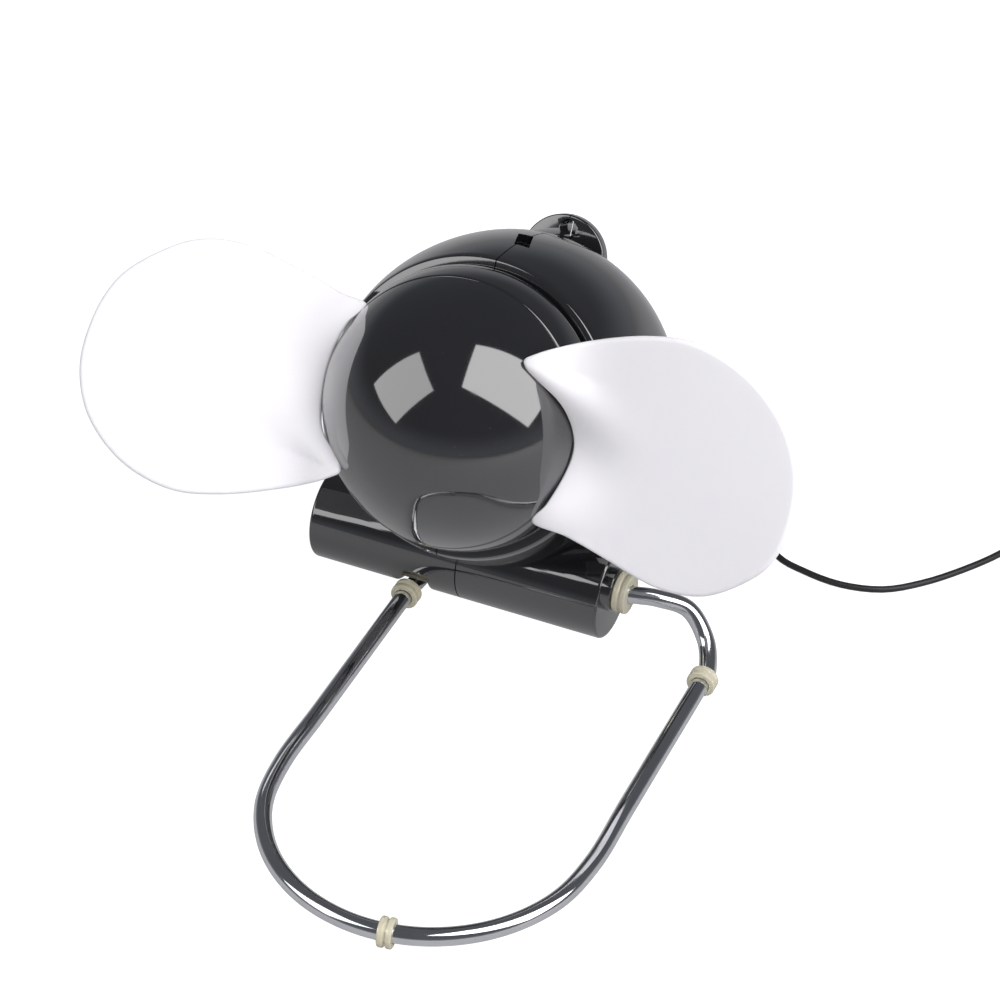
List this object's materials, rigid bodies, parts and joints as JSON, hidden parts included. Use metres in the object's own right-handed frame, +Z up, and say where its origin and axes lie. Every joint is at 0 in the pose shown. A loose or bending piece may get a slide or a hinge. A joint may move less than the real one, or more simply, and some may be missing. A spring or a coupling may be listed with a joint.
{
  "type": "desk fan",
  "caption": "Small USB desk fan with a ball-shaped head, soft foam blades, a front spinner dome and a bent wire stand that swings under the head.",
  "frame": {"origin": "on the table, under the middle of the fan's outline without its cable", "axes": "+Z up, -Y the way the fan faces, +X to the right as seen from the front"},
  "size_m": [0.2294, 0.2143, 0.094],
  "materials": {
    "black": "glossy black ABS",
    "foam": "matt white closed-cell EVA foam sheet",
    "chrome": "bright chromed steel wire",
    "steel": "zinc-plated steel",
    "brass": "plain brass",
    "winding": "copper windings on a laminated core",
    "ferrite": "sintered ferrite",
    "clear": "clear, slightly yellow soft vinyl",
    "nylon": "white nylon",
    "rubber": "black PVC",
    "red_rubber": "red PVC"
  },
  "bodies": {
    "head": {"motor_can": "steel", "motor_end_cap": "nylon", "bearing_front": "brass", "bearing_rear": "brass", "magnet_1": "ferrite", "magnet_2": "ferrite", "terminal_1": "brass", "terminal_2": "brass", "motor_plate": "black", "motor_screw_1": "steel", "motor_screw_2": "steel", "housing_left": "black", "housing_right": "black", "case_screw_1": "steel", "case_screw_2": "steel", "strain_relief": "rubber", "lead_black": "rubber", "lead_red": "red_rubber", "usb_cable": "rubber", "cable_coil": "rubber", "cable_tail": "rubber", "plug_body": "rubber", "plug_shell": "steel", "plug_tongue": "nylon"},
    "rotor": {"front_dome": "black", "rear_cup": "black", "hub_core": "brass", "blade_1": "foam", "blade_2": "foam", "motor_shaft": "steel", "armature": "winding", "commutator": "winding"},
    "stand": {"wire_stand": "chrome", "ring_left": "clear", "ring_right": "clear", "ring_front": "clear", "barrel_bush": "clear"}
  },
  "joints": [
    {"name": "fan_spin", "type": "hinge", "parent": "head", "child": "rotor", "pos_m": [0, 0.02358, 0.0553], "axis": [0, -0.8763, 0.4818], "continuous": true, "deforming": ["blade_1", "blade_2"]},
    {"name": "stand_tilt", "type": "hinge", "parent": "head", "child": "stand", "pos_m": [0, 0.02398, 0.0155], "axis": [1, 0, 0], "range_deg": [-8, 60]}
  ]
}
